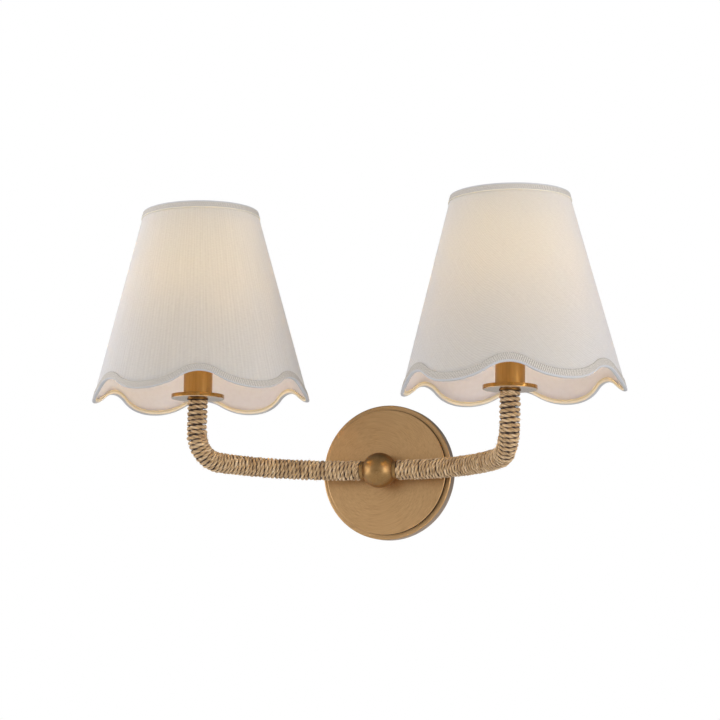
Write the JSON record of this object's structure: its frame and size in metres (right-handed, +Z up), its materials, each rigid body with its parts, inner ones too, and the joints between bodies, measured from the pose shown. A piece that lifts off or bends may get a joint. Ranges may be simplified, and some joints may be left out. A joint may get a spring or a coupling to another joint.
{
  "type": "wall sconce",
  "caption": "Wall sconce: round brushed-brass backplate, rope-wrapped swept arms, candle sleeves on drip pans, and tapered fabric shades with a scalloped hem.",
  "frame": {"origin": "centre of the backplate's wall face, on the wall plane", "axes": "+Z up, +X to the viewer's right, +Y into the wall; the light stands out towards -Y"},
  "size_m": [0.4985, 0.2173, 0.3024],
  "materials": {
    "aged_brass": "brushed, aged",
    "bright_brass": "bright",
    "zinc_steel": "zinc plated",
    "ground_green": "green passivated",
    "nickel": "nickel plated",
    "rope": "twisted natural fibre",
    "lead_jacket": "smooth",
    "black_phenolic": "moulded",
    "bulb_glass": "frosted",
    "filament": "phosphor coated",
    "shade_linen": "plain woven, laminated",
    "shade_ribbon": "ribbed ribbon",
    "frame_wire": "white enamel"
  },
  "bodies": {
    "fixture": {"mounting_strap": "zinc_steel", "rim_screws": "aged_brass", "ground_screw": "ground_green", "canopy_base": "aged_brass", "canopy_face_disc": "aged_brass", "hub_nipple": "zinc_steel", "hub_washer": "zinc_steel", "hub_nut": "zinc_steel", "hub_neck": "aged_brass", "hub_ball": "aged_brass", "left_arm_collar": "aged_brass", "left_arm_tube": "zinc_steel", "left_arm_wrap_inner": "rope", "left_arm_wrap_outer": "rope", "left_lamp_lead": "lead_jacket", "left_neck_ring": "aged_brass", "left_drip_pan": "aged_brass", "left_pan_nut": "zinc_steel", "left_candle_sleeve": "aged_brass", "left_socket_body": "black_phenolic", "left_socket_shell": "bright_brass", "left_socket_contact": "bright_brass", "right_arm_collar": "aged_brass", "right_arm_tube": "zinc_steel", "right_arm_wrap_inner": "rope", "right_arm_wrap_outer": "rope", "right_lamp_lead": "lead_jacket", "right_neck_ring": "aged_brass", "right_drip_pan": "aged_brass", "right_pan_nut": "zinc_steel", "right_candle_sleeve": "aged_brass", "right_socket_body": "black_phenolic", "right_socket_shell": "bright_brass", "right_socket_contact": "bright_brass"},
    "left_bulb_screw": {"left_bulb_tip": "black_phenolic"},
    "left_bulb": {"left_bulb_base": "nickel", "left_bulb_glass": "bulb_glass", "left_bulb_filament": "filament"},
    "left_clip": {"left_bulb_clip": "bright_brass"},
    "left_shade": {"left_shade_panel": "shade_linen", "left_shade_bottom_trim": "shade_ribbon", "left_shade_top_trim": "shade_ribbon", "left_shade_frame": "frame_wire"},
    "right_bulb_screw": {"right_bulb_tip": "black_phenolic"},
    "right_bulb": {"right_bulb_base": "nickel", "right_bulb_glass": "bulb_glass", "right_bulb_filament": "filament"},
    "right_clip": {"right_bulb_clip": "bright_brass"},
    "right_shade": {"right_shade_panel": "shade_linen", "right_shade_bottom_trim": "shade_ribbon", "right_shade_top_trim": "shade_ribbon", "right_shade_frame": "frame_wire"}
  },
  "joints": [
    {"name": "left_bulb_rise", "type": "slide", "parent": "fixture", "child": "left_bulb_screw", "axis": [0, 0, 1], "range_m": [0, 0.0077]},
    {"name": "left_bulb_turn", "type": "hinge", "parent": "left_bulb_screw", "child": "left_bulb", "pos_m": [-0.1505, -0.115, 0], "axis": [0, 0, 1], "range_deg": [0, 1080]},
    {"name": "left_shade_lift", "type": "slide", "parent": "left_bulb", "child": "left_clip", "axis": [0, 0, 1], "range_m": [0, 0.16]},
    {"name": "left_shade_turn", "type": "hinge", "parent": "left_clip", "child": "left_shade", "pos_m": [-0.1505, -0.115, 0.1882], "axis": [-0.0332, 0.0157, 0.9993], "continuous": true},
    {"name": "right_bulb_rise", "type": "slide", "parent": "fixture", "child": "right_bulb_screw", "axis": [0, 0, 1], "range_m": [0, 0.0077]},
    {"name": "right_bulb_turn", "type": "hinge", "parent": "right_bulb_screw", "child": "right_bulb", "pos_m": [0.1505, -0.115, 0], "axis": [0, 0, 1], "range_deg": [0, 1080]},
    {"name": "right_shade_lift", "type": "slide", "parent": "right_bulb", "child": "right_clip", "axis": [0, 0, 1], "range_m": [0, 0.16]},
    {"name": "right_shade_turn", "type": "hinge", "parent": "right_clip", "child": "right_shade", "pos_m": [0.1505, -0.115, 0.1882], "axis": [-0.027, 0.0035, 0.9996], "continuous": true}
  ],
  "couplings": [
    {"joint": "left_bulb_rise", "follows": "left_bulb_turn", "m_per_rad": 0.00040425},
    {"joint": "right_bulb_rise", "follows": "right_bulb_turn", "m_per_rad": 0.00040425}
  ]
}
